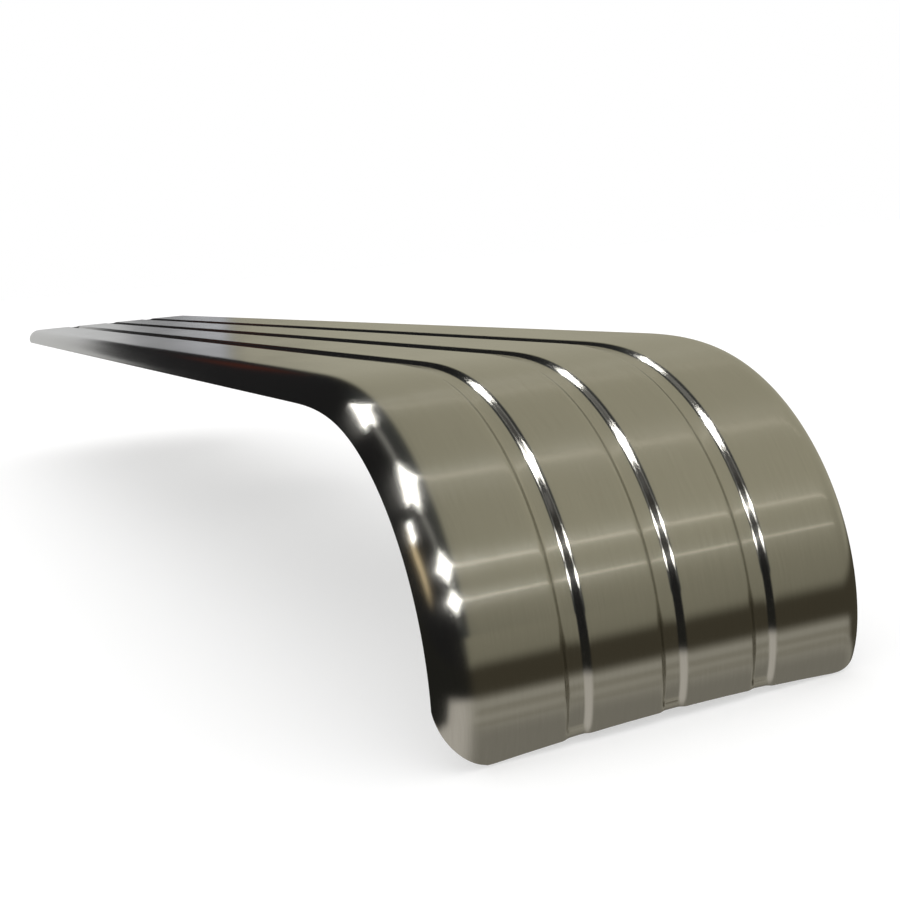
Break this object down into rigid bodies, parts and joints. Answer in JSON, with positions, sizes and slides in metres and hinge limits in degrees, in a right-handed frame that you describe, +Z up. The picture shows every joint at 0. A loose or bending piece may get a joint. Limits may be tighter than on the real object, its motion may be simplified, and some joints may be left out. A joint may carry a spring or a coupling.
{
  "type": "vehicle running board",
  "caption": "Long fluted stainless steel step board with rolled edges and a curved drop end, on cantilever brackets.",
  "frame": {"origin": "centre of the middle chassis plate's outer face, where it bears on the vehicle", "axes": "+Z up, out of the tread; +X across the board, towards the vehicle; +Y along the board to its plain rear end, so the curved drop end is at -Y"},
  "size_m": [0.264, 1.4773, 0.1797],
  "materials": {
    "brushed_stainless": "brushed along the length, satin with crisp rolled edges",
    "stainless_fastener": "plain stainless, machined",
    "galvanised_steel": "dull galvanised sheet with faint spangle",
    "black_steel": "fine textured black powder coat",
    "zinc_plated": "clear zinc plate",
    "isolator_rubber": "matt moulded rubber"
  },
  "bodies": {
    "root": {"board_skin": "brushed_stainless", "outboard_rail": "galvanised_steel", "outboard_rail_stud_1": "stainless_fastener", "outboard_rail_nut_1": "stainless_fastener", "outboard_rail_stud_2": "stainless_fastener", "outboard_rail_nut_2": "stainless_fastener", "outboard_rail_stud_3": "stainless_fastener", "outboard_rail_nut_3": "stainless_fastener", "outboard_rail_stud_4": "stainless_fastener", "outboard_rail_nut_4": "stainless_fastener", "outboard_drop_strap": "galvanised_steel", "outboard_strap_stud_upper": "stainless_fastener", "outboard_strap_nut_upper": "stainless_fastener", "outboard_strap_stud_lower": "stainless_fastener", "outboard_strap_nut_lower": "stainless_fastener", "inboard_rail": "galvanised_steel", "inboard_rail_stud_1": "stainless_fastener", "inboard_rail_nut_1": "stainless_fastener", "inboard_rail_stud_2": "stainless_fastener", "inboard_rail_nut_2": "stainless_fastener", "inboard_rail_stud_3": "stainless_fastener", "inboard_rail_nut_3": "stainless_fastener", "inboard_rail_stud_4": "stainless_fastener", "inboard_rail_nut_4": "stainless_fastener", "inboard_drop_strap": "galvanised_steel", "inboard_strap_stud_upper": "stainless_fastener", "inboard_strap_nut_upper": "stainless_fastener", "inboard_strap_stud_lower": "stainless_fastener", "inboard_strap_nut_lower": "stainless_fastener", "drop_cross_bar": "galvanised_steel", "bracket_arm_rear": "black_steel", "chassis_plate_rear": "black_steel", "isolator_pad_rear_outboard": "isolator_rubber", "carriage_bolt_rear_outboard": "zinc_plated", "flange_nut_rear_outboard": "zinc_plated", "isolator_pad_rear_inboard": "isolator_rubber", "carriage_bolt_rear_inboard": "zinc_plated", "flange_nut_rear_inboard": "zinc_plated", "bracket_arm_middle": "black_steel", "chassis_plate_middle": "black_steel", "isolator_pad_middle_outboard": "isolator_rubber", "carriage_bolt_middle_outboard": "zinc_plated", "flange_nut_middle_outboard": "zinc_plated", "isolator_pad_middle_inboard": "isolator_rubber", "carriage_bolt_middle_inboard": "zinc_plated", "flange_nut_middle_inboard": "zinc_plated", "bracket_arm_front": "black_steel", "chassis_plate_front": "black_steel", "isolator_pad_front_outboard": "isolator_rubber", "carriage_bolt_front_outboard": "zinc_plated", "flange_nut_front_outboard": "zinc_plated", "isolator_pad_front_inboard": "isolator_rubber", "carriage_bolt_front_inboard": "zinc_plated", "flange_nut_front_inboard": "zinc_plated"}
  },
  "joints": []
}
